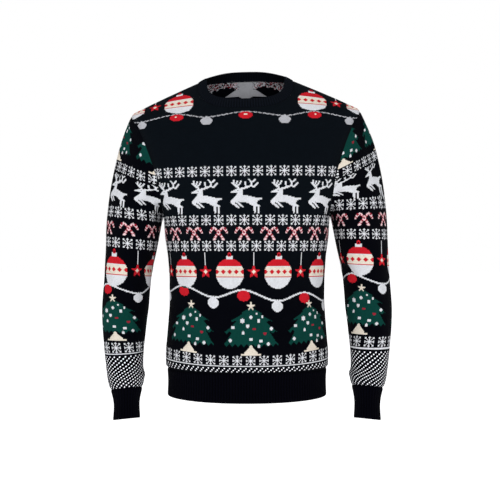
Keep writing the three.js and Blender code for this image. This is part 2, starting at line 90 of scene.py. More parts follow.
# How many rows and columns of points the pieces have
PANEL_ROWS, YOKE_ROWS = 128, 44
ARMHOLE_STEPS = 72
CAP_ROWS, ARM_ROWS = 56, 84
BAND_ROWS, NECKBAND_ROWS = 24, 22
WAIST_RIB_STEPS, ROUND_RIB_STEPS = 8, 10

# Level sections of the body: z, half width, depth before and behind the side seam, the seam's y
BODY = np.array([
    (-669, 169, 111, 104, 0), (-640, 168, 110, 103, 0), (-612, 169.5, 112, 105, 0),
    (-604, 173.5, 116, 109, 0), (-580, 174, 118, 110, 0), (-550, 171.5, 118, 108, 0),
    (-520, 169, 117, 106, 0), (-480, 166.5, 116, 103, 0), (-430, 166, 116, 102, 0),
    (-380, 168.5, 119, 105, 0), (-330, 175, 122, 110, 0), (-288, 178, 123, 114, 1),
    (-240, 202, 122, 117, 2), (-190, 221, 117, 118, 3), (-131, 239, 104, 113, 5),
    (-100, 246, 93, 104, 6), (-82, 250, 86, 97, 7), (-68, 246, 78, 91, 8),
    (-51, 216, 68, 84, 8), (-34, 180, 57, 76, 8), (-17, 142, 46, 68, 8),
    (0, 103, 36, 61, 8), (13, 74, 28.2, 54.5, 8),
], float)
# The armhole seam: z, its half width on the front and on the back
ARMHOLE = np.array([
    (-288, 178, 178), (-264, 180, 184), (-239, 183, 190), (-213, 187, 196), (-190, 193, 203),
    (-157, 204, 213), (-131, 214, 221), (-100, 228, 232), (-82, 239, 241), (-68, 246, 246),
], float)
# The heights at which the sleeve's wales meet the armhole, below the shoulder tip
ARMHOLE_LEVELS = [-114, -142, -172, -202, -232, -258, -276, -285, -288]
# Level sections of a sleeve: z, the middle's x and y, half width and half depth
SLEEVE = np.array([
    (-716, 253, -44, 27.5, 31), (-690, 253.5, -39, 26, 30), (-657, 254.5, -33, 32.5, 36.5),
    (-650, 255, -32, 35.5, 39.5), (-636, 256.5, -29, 38, 42.5), (-610, 259.5, -24, 39, 44),
    (-570, 262, -15, 42, 47.5), (-525, 262.5, -6, 46.5, 52), (-473, 260.5, 1, 50, 56),
    (-430, 257.5, 5, 50, 59), (-393, 253.5, 6, 52, 62), (-360, 249, 6, 54.5, 65),
    (-330, 245.5, 5, 57, 68), (-320, 244.5, 5, 57.8, 68.5),
], float)

# Creases of the body: x, z, turn, length, width, rise
FRONT_CREASES = [
    (132, -292, 32, 95, 17, 4.0), (122, -330, 24, 80, 15, -2.6),
    (-128, -300, -38, 90, 17, 4.0), (-120, -338, -20, 85, 15, -2.6),
    (118, -455, -14, 90, 20, -3.0), (-122, -470, 17, 80, 20, -3.0),
    (92, -560, 70, 60, 24, 2.6), (-88, -566, -66, 60, 24, 2.6),
]
BACK_CREASES = [
    (128, -286, 40, 100, 18, 4.4), (-130, -296, -36, 95, 18, 4.4),
    (40, -448, -8, 130, 22, -4.0), (-50, -486, 10, 120, 22, -3.6),
    (96, -556, 68, 70, 26, 3.0), (-90, -552, -72, 70, 26, 3.0),
]
# Creases of a sleeve: the place round it in degrees (0 outer, 90 front), z, turn, length, width, rise
SLEEVE_CREASES = [
    (118, -252, 62, 62, 13, -6.0), (96, -232, 55, 60, 15, 3.0),
    (150, -402, 22, 60, 12, -4.5), (138, -436, -16, 56, 12, -4.0),
    (120, -478, 12, 60, 13, -3.0), (244, -250, -60, 62, 14, -5.0),
    (300, -470, 15, 55, 14, -2.4), (170, -628, 8, 50, 10, 3.0),
]


def column(table, index):
    """A smooth curve through one column of a table, with no overshoot between its rows."""
    z, value = table[:, 0], table[:, index]
    slope = np.diff(value) / np.diff(z)
    tangent = np.empty(len(z))
    tangent[0], tangent[-1] = slope[0], slope[-1]
    product = slope[:-1] * slope[1:]
    total = slope[:-1] + slope[1:]
    tangent[1:-1] = np.where(product > 0, 2 * product / np.where(total == 0, 1, total), 0)

    def curve(at):
        level = np.clip(at, z[0], z[-1])
        i = np.clip(np.searchsorted(z, level) - 1, 0, len(z) - 2)
        span = z[i + 1] - z[i]
        t = (level - z[i]) / span
        u = 1 - t
        return (
            value[i] * u * u * (1 + 2 * t)
            + value[i + 1] * t * t * (3 - 2 * t)
            + tangent[i] * span * t * u * u
            - tangent[i + 1] * span * t * t * u
        )

    return curve


body_half, body_front, body_back, body_seam = (column(BODY, k) for k in (1, 2, 3, 4))
armhole_front, armhole_back = (column(ARMHOLE, k) for k in (1, 2))
arm_x, arm_y, arm_half, arm_depth = (column(SLEEVE, k) for k in (1, 2, 3, 4))


def unit(vectors):
    return vectors / np.maximum(np.linalg.norm(vectors, axis=-1, keepdims=True), 1e-12)


def ease(t):
    t = np.clip(t, 0, 1)
    return t * t * (3 - 2 * t)


def run_along(points):
    """How far along its rows each point of a path, or of a grid, lies."""
    steps = np.linalg.norm(np.diff(points, axis=0), axis=-1)
    return np.concatenate([np.zeros_like(steps[:1]), np.cumsum(steps, axis=0)])


def resampled(path, run, wanted):
    """The points of a path at wanted lengths along its run."""
    return np.stack([np.interp(wanted, run, path[:, k]) for k in range(3)], -1)


def on_body(x, z, side):
    x, z = np.broadcast_arrays(np.asarray(x, float), np.asarray(z, float))
    depth = body_front(z) if side == FRONT else body_back(z)
    across = (1 - np.minimum(1, np.abs(x) / body_half(z)) ** RING_POWER) ** (1 / RING_POWER)
    return np.stack([x, body_seam(z) + side * depth * across, z], -1)


def edge_x(z, side):
    armhole = armhole_front(z) if side == FRONT else armhole_back(z)
    upper = np.minimum(armhole, body_half(z))
    tip = body_half(SHOULDER_TIP_Z)
    return np.where(z <= ARMPIT_Z, body_half(z), np.where(z >= SHOULDER_TIP_Z, tip, upper))


def level_arc(z, side, steps=240):
    """The x values across half a level section, and how far round it each one lies."""
    xs = edge_x(np.float64(z), side) * np.sin(np.linspace(0, np.pi / 2, steps))
    return xs, run_along(on_body(xs, min(z, SHOULDER_TIP_Z), side))


def at_shares(share, xs, arcs):
    """The x values at signed shares of the way round half a level section."""
    return np.sign(share) * np.interp(np.abs(share) * arcs[-1], arcs, xs)


def top_level(x, side):
    away = np.abs(x)
    left = np.clip(1 - (away / NECK_HALF_WIDTH) ** NECK_POWER, 0, 1)
    neck = -FRONT_NECK_DROP * left ** (1 / NECK_POWER) if side == FRONT else BACK_NECK_RISE * left
    levels = np.linspace(SHOULDER_TIP_Z, 0, 200)
    shoulder = np.interp(-away, -body_half(levels), levels)
    return np.where(away < NECK_HALF_WIDTH, neck, shoulder)


def creases(table, across, z):
    """How far a table of creases moves a point. across(c) is its distance from crease c."""
    total = np.zeros(np.shape(z))
    for c in table:
        turn = math.radians(c[2])
        dx, dz = across(c), z - c[1]
        along = (dx * math.cos(turn) + dz * math.sin(turn)) / (c[3] / 2)
        aside = (-dx * math.sin(turn) + dz * math.cos(turn)) / c[4]
        total = total + c[5] * np.exp(-(aside**2) - along**4)
    return total


def leaned(points):
    share = ease(1 - points[..., 2] / LEAN_FROM_Z)
    moved = points.copy()
    moved[..., 0] += LEAN_SHIFT * share
    moved[..., 2] += LEAN_TILT * points[..., 0] * share
    return moved


def grid_normals(points, round_):
    """Unit normals of a grid of points, across its columns and along its rows."""
    if round_:
        across = np.roll(points, -1, 1) - np.roll(points, 1, 1)
    else:
        across = np.gradient(points, axis=1)
    along = np.gradient(points, axis=0)
    return unit(np.cross(across, along))


def cloth(name, points, flat, materials, round_=False):
    """A sheet of cloth from a grid of points with its flat places, with a wall grown inwards."""
    rows, columns = points.shape[:2]
    steps = columns if round_ else columns - 1
    bm = bmesh.new()
    bmesh.ops.create_grid(bm, x_segments=steps, y_segments=rows - 1, size=1)
    verts = sorted(bm.verts, key=lambda v: (round(v.co.y * (rows - 1)), round(v.co.x * steps)))
    placed = leaned(points) / 1000
    if round_:
        placed = np.concatenate([placed, placed[:, :1]], 1)
    place_of = {}
    for v, co, place in zip(verts, placed.reshape(-1, 3), flat.reshape(-1, 2) / 1000):
        v.co = co
        place_of[v] = place
    layer = bm.loops.layers.uv.new("cloth")
    for face in bm.faces:
        face.smooth = True
        for loop in face.loops:
            loop[layer].uv = place_of[loop.vert]
    if round_:
        firsts = range(0, len(verts), steps + 1)
        bmesh.ops.weld_verts(bm, targetmap={verts[k + steps]: verts[k] for k in firsts})
    mesh = bpy.data.meshes.new(name)
    bm.to_mesh(mesh)
    bm.free()
    piece = bpy.data.objects.new(name, mesh)
    scene.collection.objects.link(piece)
    for material in materials:
        mesh.materials.append(material)
    wall = piece.modifiers.new("wall", "SOLIDIFY")
    wall.thickness = CLOTH / 1000
    wall.offset = -1
    wall.use_even_offset = False
    wall.material_offset = len(materials) - 1
    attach(piece, "root")
    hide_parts(name)
    return piece


def seam_roll(distance, depth=1.0, reach=2.2):
    """How far cloth turns in beside a seam."""
    return -depth * np.exp(-((distance / reach) ** 2))


# The front and back panels

# How far the knitted bands sag at the middle of the body: z and millimetres
SAG = np.array([(-612, 1.5), (-597, 4), (-585, 5.5), (-565, 6.6), (-475, 3), (-430, 0)], float)
SAG_TURN = 1.8  # the sag there, and four fifths of it as a rise at the sides


def chest_stretch(z):
    """The knit is a little wider over the chest than at the armpits."""
    return 1 + 0.029 * ease((z - ARMPIT_Z) / 90)


def panel_wales(side):
    """The x at which each wale ends at the top, and its share of the way round at every level."""
    by_neck = 1 - 0.2 * (1 - np.linspace(0, 1, 13)[1:]) ** 1.6
    neck = np.concatenate([np.linspace(0, 0.8, 25), by_neck])
    tip = float(body_half(SHOULDER_TIP_Z))
    half = np.concatenate([neck * NECK_HALF_WIDTH, np.linspace(NECK_HALF_WIDTH, tip, 38)[1:]])
    top_x = np.concatenate([-half[:0:-1], half])
    xs, arcs = level_arc(SHOULDER_TIP_Z, side)
    share = np.sign(top_x) * np.interp(np.abs(top_x), xs, arcs) / arcs[-1]
    share[0], share[-1] = -1, 1
    return top_x, share


def panel_grid(side):
    """The points of a panel, from the waistband's seam up, and their flat places."""
    top_x, share = panel_wales(side)
    levels = np.concatenate([
        WAISTBAND_TOP_Z + SEAM_ZONE * np.linspace(0, 1, 9)[:-1] ** 1.3,
        np.linspace(WAISTBAND_TOP_Z + SEAM_ZONE, YOKE_Z, PANEL_ROWS),
    ])
    armpit_width = level_arc(ARMPIT_Z, side)[1][-1]
    lower, lower_flat = [], []
    for z in levels:
        xs, arcs = level_arc(z, side)
        x = at_shares(share, xs, arcs)
        width = arcs[-1] / chest_stretch(z) if z > ARMPIT_Z else armpit_width
        sag = np.interp(z, SAG[:, 0], SAG[:, 1]) * (1 - SAG_TURN * (x / body_half(z)) ** 2)
        lower.append(on_body(x, z, side))
        lower_flat.append(np.stack([share * width, z + sag], -1))
    # Above the yoke line each wale runs on to the neck or the shoulder seam
    fan = np.linspace(YOKE_Z, SHOULDER_TIP_Z, 24)
    fan_arcs = [level_arc(z, side) for z in fan]
    fan_x = np.array([at_shares(share, xs, arcs) for xs, arcs in fan_arcs])
    fan_width = np.array([arcs[-1] for xs, arcs in fan_arcs])
    upper = np.empty((YOKE_ROWS, len(share), 3))
    upper_flat = np.empty((YOKE_ROWS, len(share), 2))
    for i, (x_top, z_top) in enumerate(zip(top_x, top_level(top_x, side))):
        z = YOKE_Z + (z_top - YOKE_Z) * (1 - np.cos(np.linspace(0, np.pi, 400))) / 2
        x = np.where(z >= SHOULDER_TIP_Z, x_top, np.interp(z, fan, fan_x[:, i]))
        path = on_body(x, z, side)
        run = run_along(path)
        wanted = np.linspace(0, run[-1], YOKE_ROWS + 1)[1:]
        upper[:, i] = resampled(path, run, wanted)
        upper_flat[:, i, 1] = YOKE_Z + wanted
    width = np.interp(upper[..., 2], fan, fan_width)
    upper_flat[..., 0] = share * width / chest_stretch(YOKE_Z)
    return np.concatenate([lower, upper]), np.concatenate([lower_flat, upper_flat])


def panel(name, side, materials):
    """A front or back panel, with its cut and its flat area in metres."""
    points, flat = panel_grid(side)
    normals = grid_normals(points, False)
    if np.mean(normals[..., 1]) * side < 0:
        normals = -normals
    table = FRONT_CREASES if side == FRONT else BACK_CREASES
    rise = creases(table, lambda c: points[..., 0] - c[0], points[..., 2])
    to_edge = np.abs(flat[:, -1:, 0]) - np.abs(flat[..., 0])
    to_top = flat[-1:, :, 1] - flat[..., 1]
    to_bottom = flat[..., 1] - WAISTBAND_TOP_Z
    calm = ease(to_edge / 22) * ease(to_top / 18) * ease(to_bottom / 14)
    roll = seam_roll(to_edge, 1.1, 2.6) + seam_roll(to_top, reach=2.4) + seam_roll(to_bottom)
    points = points + normals * (rise * calm + roll)[..., None]
    if side == BACK:
        points, flat = points[:, ::-1], flat[:, ::-1] * [-1, 1]
    piece = cloth(name, points, flat, materials)
    widths = np.abs(flat[:, -1, 0] - flat[:, 0, 0])
    heights = flat[:, flat.shape[1] // 4, 1]
    area = float(np.sum((widths[1:] + widths[:-1]) / 2 * np.abs(np.diff(heights))))
    cut = (float(widths.max()) / 1000, float(np.ptp(flat[..., 1])) / 1000)
    return piece, cut, area / 1e6


# The sleeves

def armhole_curve(side):
    """The armhole seam on one side, from the shoulder tip to the armpit, at the sleeve's wales."""
    z = np.linspace(SHOULDER_TIP_Z, ARMHOLE_LEVELS[0], 200)
    run = run_along(on_body(edge_x(z, side), z, side))
    tops = np.interp(np.linspace(0, run[-1], 5), run, z)
    levels = np.concatenate([tops, ARMHOLE_LEVELS[1:]])
    table = np.stack([np.arange(len(levels)), -levels], 1).astype(float)
    z = -column(table, 1)(np.linspace(0, len(levels) - 1, ARMHOLE_STEPS + 1))
    return on_body(edge_x(z, side), z, side)


def body_normals(points, side):
    def field(x, y, z):
        depth = body_front(z) if side == FRONT else body_back(z)
        inward = np.maximum(0, (y - body_seam(z)) * side) / depth
        return (np.abs(x) / body_half(z)) ** RING_POWER + inward**RING_POWER

    x, y, z = points[..., 0], points[..., 1], points[..., 2]
    step = 0.5
    return unit(np.stack([
        field(x + step, y, z) - field(x - step, y, z),
        field(x, y + step, z) - field(x, y - step, z),
        field(x, y, z + step) - field(x, y, z - step),
    ], -1))


def on_sleeve(turn, z, hand):
    return np.stack([
        hand * (arm_x(z) + arm_half(z) * np.cos(turn)),
        arm_y(z) - arm_depth(z) * np.sin(turn),
        z + 0 * turn,
    ], -1)


# Along each sleeve: z, how far the pattern's own height lies from it, and the bands' tilt there
SLEEVE_BANDS = {
    LEFT: np.array([
        (-716, -28.2, -0.015), (-570, -28.2, -0.015), (-564, -31.1, -0.01), (-541, -31.1, -0.01),
        (-538, -30.3, -0.02), (-520, -31.5, -0.04), (-450, -30.5, -0.1), (-420, -28.5, -0.06),
        (-340, -29.7, -0.02), (-311, -29.7, 0), (-278.7, -29.3, 0.04), (-256, -31.5, 0.08),
        (-240, -29.5, 0.2), (-215, -25.5, 0.34), (-201.5, -19.5, 0.42), (-200.2, -10.8, 0.46),
        (-179, -9.8, 0.5), (-170, -5, 0.52), (-60, -2, 0.52),
    ], float),
    RIGHT: np.array([
        (-716, -18.7, -0.06), (-578, -18.7, -0.05), (-553, -18.7, 0), (-550, -18.5, 0),
        (-500, -13, 0), (-440, -7, 0.05), (-380, -8, 0.08), (-358, -11.1, 0.1),
        (-335, -11.1, 0.1), (-330.7, -10.5, 0.1), (-302.7, -10.5, 0.11), (-296, -12.5, 0.12),
        (-275, -12.5, 0.14), (-271, -14.5, 0.15), (-250, -11.6, 0.17), (-214.6, -6.4, 0.32),
        (-209.7, -1.3, 0.4), (-187, -1.3, 0.45), (-60, -1, 0.45),
    ], float),
}
SLEEVE_GIRTH = np.array([
    (-716, 262), (-600, 262), (-473, 338), (-330, 400), (-270, 440), (-200, 465), (-60, 465),
], float)
# The arm's middle line above UPPER_ARM_Z: its x and y there, and how they change with z
ARM_LINE_X, ARM_LINE_Y = (244.5, -0.115), (5, 0.01)
# The cuffs stand square to the forearms, so their seams slope, and sit a little above the cut's
CUFF_SLOPE = (-0.1, 0.17)
CUFF_LIFT = {LEFT: 8, RIGHT: 3.5}


def cuff_sloped(points, hand):
    z = points[..., 2]
    low = ease((CUFF_SLOPE_FROM_Z - z) / (CUFF_SLOPE_FROM_Z - CUFF_TOP_Z))
    near_seam = low * ease((z - CUFF_END_Z) / (CUFF_TOP_Z - CUFF_END_Z))
    out_x = points[..., 0] * hand - arm_x(z)
    out_y = arm_y(z) - points[..., 1]
    moved = points.copy()
    slope = CUFF_SLOPE[0] * out_x + CUFF_SLOPE[1] * out_y
    moved[..., 2] = z + low * slope + near_seam * CUFF_LIFT[hand]
    return moved


def armhole_ring(hand):
    """The armhole seam all round, down the front and up the back, and the way out from it."""
    front, back = armhole_curve(FRONT), armhole_curve(BACK)

    def ring(a, b):
        return np.concatenate([[(a[0] + b[0]) / 2], a[1:-1], [(a[-1] + b[-1]) / 2], b[-2:0:-1]])

    mirror = [hand, 1, 1]
    loop = ring(front, back) * mirror
    out = unit(ring(body_normals(front, FRONT), body_normals(back, BACK))) * mirror
    return loop, out


def sleeve_grid(loop, out, turn, hand):
    """The points of a sleeve, from the armhole down to the cuff's seam."""
    seam = unit(np.roll(loop, -3, 0) - np.roll(loop, 3, 0))
    leave = unit(np.cross(seam, out)) * -hand
    end = on_sleeve(turn, UPPER_ARM_Z, hand)
    down = unit(on_sleeve(turn, UPPER_ARM_Z - 10, hand) - end)
    span = np.linalg.norm(end - loop, axis=1)[:, None]
    outer = np.maximum(0, np.cos(turn))[:, None] ** 1.5
    inner = np.maximum(0, -np.cos(turn))[:, None] ** 3
    pull = span * (0.26 + CAP_FULLNESS[hand] * outer + 0.75 * inner)
    settle = span * (1.05 + 0.5 * inner)
    rows = []
    for t in np.linspace(0, 1, CAP_ROWS)[:-1]:
        u = 1 - t
        rows.append(
            loop * u * u * (1 + 2 * t) + leave * pull * t * u * u
            + end * t * t * (3 - 2 * t) - down * settle * t * t * u
        )
    levels = np.concatenate([
        np.linspace(UPPER_ARM_Z, CUFF_TOP_Z + SEAM_ZONE, ARM_ROWS),
        CUFF_TOP_Z + SEAM_ZONE * (1 - np.linspace(0, 1, 10)[1:]) ** 1.3,
    ])
    return np.array(rows + [on_sleeve(turn, z, hand) for z in levels])


def sleeve_flat(points, hand):
    """Flat places on a sleeve: round the arm, and along it square to the bands' tilt."""
    z = points[..., 2]
    bands = SLEEVE_BANDS[hand]
    rise = z - UPPER_ARM_Z
    middle_x = np.where(rise > 0, ARM_LINE_X[0] + ARM_LINE_X[1] * rise, arm_x(z))
    middle_y = np.where(rise > 0, ARM_LINE_Y[0] + ARM_LINE_Y[1] * rise, arm_y(z))
    out_x = points[..., 0] * hand - middle_x
    angle = np.arctan2(middle_y - points[..., 1], out_x)
    girth = np.interp(z, SLEEVE_GIRTH[:, 0], SLEEVE_GIRTH[:, 1])
    level = z - np.interp(z, bands[:, 0], bands[:, 2]) * out_x
    height = level + np.interp(level, bands[:, 0], bands[:, 1])
    return np.stack([-hand * angle / (2 * np.pi) * girth, height], -1)


def sleeve(name, hand, materials):
    loop, out = armhole_ring(hand)
    turn = np.arange(len(loop)) / len(loop) * 2 * np.pi
    points = sleeve_grid(loop, out, turn, hand)
    normals = grid_normals(points, True)
    if np.mean(normals[len(points) // 2, :, 0] * np.cos(turn)) * hand < 0:
        normals = -normals
    normals[0] = out
    radius = arm_half(points[..., 2])

    def across(c):
        return np.radians((np.degrees(turn) - c[0] + 180) % 360 - 180) * radius

    rise = creases(SLEEVE_CREASES, across, points[..., 2])
    run = run_along(points)
    left = run[-1:] - run
    calm = ease(run / 16) * ease(left / 14)
    roll = seam_roll(run, 1.1, 2.6) + seam_roll(left)
    flat = sleeve_flat(points, hand)
    points = cuff_sloped(points + normals * (rise * calm + roll)[..., None], hand)
    # The cloth starts and ends at the inside of the arm
    inside = len(loop) // 2
    points, flat = np.roll(points, -inside, 1), np.roll(flat, -inside, 1)
    flat[:, 0, 0] = np.sign(flat[:, 1, 0]) * np.abs(flat[:, 0, 0])
    flat = np.concatenate([flat, flat[:, :1] * [-1, 1]], 1)
    if hand == LEFT:
        points = np.concatenate([points[:, :1], points[:, :0:-1]], 1)
        flat = flat[:, ::-1]
    return cloth(name, points[::-1], flat[::-1], materials, round_=True)


# The ribbed bands

def rib_wave(phase):
    """The height of two by two rib at a phase in ribs: broad round ridges and narrow valleys."""
    return (0.5 - 0.5 * np.cos(2 * np.pi * phase)) ** 0.7


def rib_count(length):
    """The even number of ribs that fits a length best."""
    return 2 * round(length / RIB_PITCH / 2)


def ribbed(name, points, normals, ribs, height, material, round_, bulge=0.0):
    """A ribbed band from a grid of rows from its free edge to its seam."""
    rows, columns = points.shape[:2]
    steps = columns if round_ else columns - 1
    phase = np.arange(columns) / steps * ribs
    t = np.linspace(0, 1, rows)[:, None]
    ends = ease(np.minimum(t, 1 - t) * height / 3)
    move = RIB_RISE * rib_wave(phase)[None, :] * (0.35 + 0.65 * ends)
    move = move + bulge * np.sin(np.pi * t) + seam_roll((1 - t) * height)
    points = points + normals * move[..., None]
    u = np.linspace(-ribs / 2, ribs / 2, steps + 1) * RIB_PITCH
    flat = np.stack(np.broadcast_arrays(u[None, :], t * height), -1)
    return cloth(name, points, flat, [material], round_=round_)


def half_section(z, side):
    """Half a level section of the body, from the wearer's right side to the left."""
    return on_body(-body_half(z) * np.cos(np.linspace(0, np.pi, 1200)), z, side)


def waistband(name, side, material):
    length = np.linalg.norm(np.diff(half_section(HEM_Z, side), axis=0), axis=1).sum()
    ribs = rib_count(length)
    rows = []
    for z in np.linspace(HEM_Z, WAISTBAND_TOP_Z, BAND_ROWS):
        path = half_section(z, side)
        run = run_along(path)
        rows.append(resampled(path, run, np.linspace(0, run[-1], ribs * WAIST_RIB_STEPS + 1)))
    points = np.array(rows)
    normals = body_normals(points, side)
    if side == FRONT:
        z = points[..., 2]
        low = ease((WAISTBAND_TOP_Z - z) / (WAISTBAND_TOP_Z - HEM_Z))
        points[..., 2] = z - HEM_DROOP * low * (1 - (points[..., 0] / body_half(z)) ** 2)
    normals[..., 2] = 0
    normals = unit(normals)
    if side == BACK:
        points, normals = points[:, ::-1], normals[:, ::-1]
    piece = ribbed(name, points, normals, ribs, WAISTBAND_TOP_Z - HEM_Z, material, False)
    return piece, length


def cuff(name, hand, material):
    perimeter = math.pi * float(arm_half(CUFF_END_Z) + arm_depth(CUFF_END_Z))
    ribs = rib_count(perimeter)
    columns = ribs * ROUND_RIB_STEPS
    turn = np.arange(columns) / columns * 2 * np.pi * -hand + np.pi
    levels = np.linspace(CUFF_END_Z, CUFF_TOP_Z, BAND_ROWS)
    points = cuff_sloped(np.array([on_sleeve(turn, z, hand) for z in levels]), hand)
    ways = (hand * np.cos(turn), -np.sin(turn), 0 * turn)
    normals = unit(np.array([
        np.stack([ways[0] / arm_half(z), ways[1] / arm_depth(z), ways[2]], -1) for z in levels
    ]))
    return ribbed(name, points, normals, ribs, CUFF_TOP_Z - CUFF_END_Z, material, True), perimeter


def neckband(name, material):
    share = np.linspace(-1, 1, 600)
    x = NECK_HALF_WIDTH * np.sin(share * np.pi / 2)
    front = on_body(x, top_level(x * NECK_INSET, FRONT), FRONT)
    back = on_body(x[::-1], top_level(x[::-1] * NECK_INSET, BACK), BACK)
    normals = np.concatenate([body_normals(front, FRONT)[:-1], body_normals(back, BACK)[:-1]])
    seam = np.concatenate([front[:-1], back[:-1]])
    run = run_along(np.concatenate([seam, seam[:1]]))
    ribs = rib_count(run[-1])
    columns = ribs * ROUND_RIB_STEPS
    at = np.arange(columns) / columns * run[-1]
    smooth = round(NECKBAND_SOFTENING / (run[-1] / columns))
    kernel = np.exp(-np.linspace(-2, 2, 4 * smooth + 1) ** 2)
    kernel /= kernel.sum()

    def at_ribs(values):
        return resampled(np.concatenate([values, values[:1]]), run, at)

    def softened(values):
        wrapped = np.concatenate([values[-2 * smooth :], values, values[: 2 * smooth]])
        return unit(np.stack([np.convolve(wrapped[:, k], kernel, "valid") for k in range(3)], -1))

    seam = at_ribs(seam)
    out = softened(at_ribs(normals))
    along = softened(np.roll(seam, -4, 0) - np.roll(seam, 4, 0))
    rise = unit(np.cross(out, along))
    rise[:, 2] += NECKBAND_STAND
    rise = softened(unit(rise))
    # The rows run from the free edge to the seam
    ups = np.linspace(0, 1, NECKBAND_ROWS)[::-1]
    points = np.array([seam + rise * NECKBAND_WIDTH * up for up in ups])
    normals = np.broadcast_to(out, points.shape)
    points, normals = points[:, ::-1], normals[:, ::-1]
    piece = ribbed(name, points, normals, ribs, NECKBAND_WIDTH, material, True, NECKBAND_BULGE)
    return piece, run[-1]


# Materials

def sum_method(operation, turned=False):
    """A method that adds one Math node, with its two values turned round if it says so."""
    if turned:
        return lambda self, other: self.math(operation, other, self)
    return lambda self, other: self.math(operation, self, other)


class Signal:
    """A number or colour on its way through a material's nodes."""

    def __init__(self, tree, socket):
        self.tree = tree
        self.socket = socket

    def node(self, kind, settings=None, inputs=None, output=0):
        made = self.tree.nodes.new(kind)
        for name, value in (settings or {}).items():
            setattr(made, name, value)
        for key, value in (inputs or {}).items():
            if isinstance(value, Signal):
                self.tree.links.new(value.socket, made.inputs[key])
            else:
                made.inputs[key].default_value = value
        return Signal(self.tree, made.outputs[output])

    def math(self, operation, *values):
        return self.node("ShaderNodeMath", {"operation": operation}, dict(enumerate(values)))

    __add__ = __radd__ = sum_method("ADD")
    __mul__ = __rmul__ = sum_method("MULTIPLY")
    __sub__, __rsub__ = sum_method("SUBTRACT"), sum_method("SUBTRACT", turned=True)
    __pow__, __rpow__ = sum_method("POWER"), sum_method("POWER", turned=True)
    __truediv__, __mod__ = sum_method("DIVIDE"), sum_method("FLOORED_MODULO")
    __gt__, __lt__ = sum_method("GREATER_THAN"), sum_method("LESS_THAN")
    least, most = sum_method("MINIMUM"), sum_method("MAXIMUM")

    def floor(self):
        return self.math("FLOOR", self)

    def abs(self):
        return self.math("ABSOLUTE", self)

    def cos(self):
        return self.math("COSINE", self)

    def between(self, low, high):
        return (self > low) * (self < high)

    def mixed(self, other, share):
        """This colour towards another one."""
        inputs = {0: share, 6: self, 7: other}
        return self.node("ShaderNodeMix", {"data_type": "RGBA"}, inputs, output=2)


def srgb(*values):
    linear = [v / 255 / 12.92 if v <= 10 else ((v / 255 + 0.055) / 1.055) ** 2.4 for v in values]
    return (*linear, 1.0)


STITCH = 1.75  # millimetres of one stitch across and up
GROUND, WHITE, RED, GREEN, CREAM, SILVER, BERRY, PINK = range(8)
YARNS = [
    srgb(3, 4, 10), srgb(228, 230, 235), srgb(206, 32, 44), srgb(11, 64, 57),
    srgb(238, 228, 212), srgb(190, 191, 197), srgb(158, 34, 54), srgb(247, 214, 218),
]

BALL_COLUMN = 19  # the column of the round bulb's or ornament's middle in a chart
TREE_LIGHT = 0.84  # the scale of the lights on a tree


class Chart:
    """A knitting chart painted stitch by stitch, its first row the lowest."""

    def __init__(self, width, height):
        self.cells = np.zeros((height, width), int)
        self.y, self.x = np.mgrid[0:height, 0:width] + 0.5

    def disc(self, x, y, radius, yarn, flat=1.0):
        inside = (self.x - x) ** 2 + ((self.y - y) / flat) ** 2 < radius**2
        self.cells[inside] = yarn

    def stroke(self, points, widths, yarns, stripe=None):
        """A line through points, as wide as widths says at its ends, in one yarn or striped."""
        yarns = yarns if isinstance(yarns, (list, tuple)) else [yarns]
        done = 0.0
        total = sum(math.dist(a, b) for a, b in zip(points, points[1:]))
        for (x0, y0), (x1, y1) in zip(points, points[1:]):
            length = math.dist((x0, y0), (x1, y1))
            t = ((self.x - x0) * (x1 - x0) + (self.y - y0) * (y1 - y0)) / length**2
            t = np.clip(t, 0, 1)
            away = np.hypot(self.x - x0 - t * (x1 - x0), self.y - y0 - t * (y1 - y0))
            along = done + t * length
            width = widths[0] + (widths[-1] - widths[0]) * along / total
            pick = (along / (stripe or 1e9)).astype(int) % len(yarns)
            for k, yarn in enumerate(yarns):
                self.cells[(away < width / 2) & (pick == k)] = yarn
            done += length

    def area(self, test, yarn):
        self.cells[test(self.x, self.y)] = yarn

    def star(self, x, y, reach, widths, yarn):
        for turn in range(5):
            a = math.radians(90 + 72 * turn)
            tip = (x + reach * math.cos(a), y + reach * math.sin(a))
            self.stroke([(x, y), tip], widths, yarn)


def snowflake_chart():
    rows = [
        "......#......", ".##..###..##.", ".##...#...##.", "...#..#..#...", "....#.#.#....",
        ".#...###...#.", ".###########.",
    ]
    rows = rows + rows[-2::-1]
    chart = Chart(13, 13)
    chart.cells = np.array([[WHITE if c == "#" else GROUND for c in row] for row in rows])
    return chart


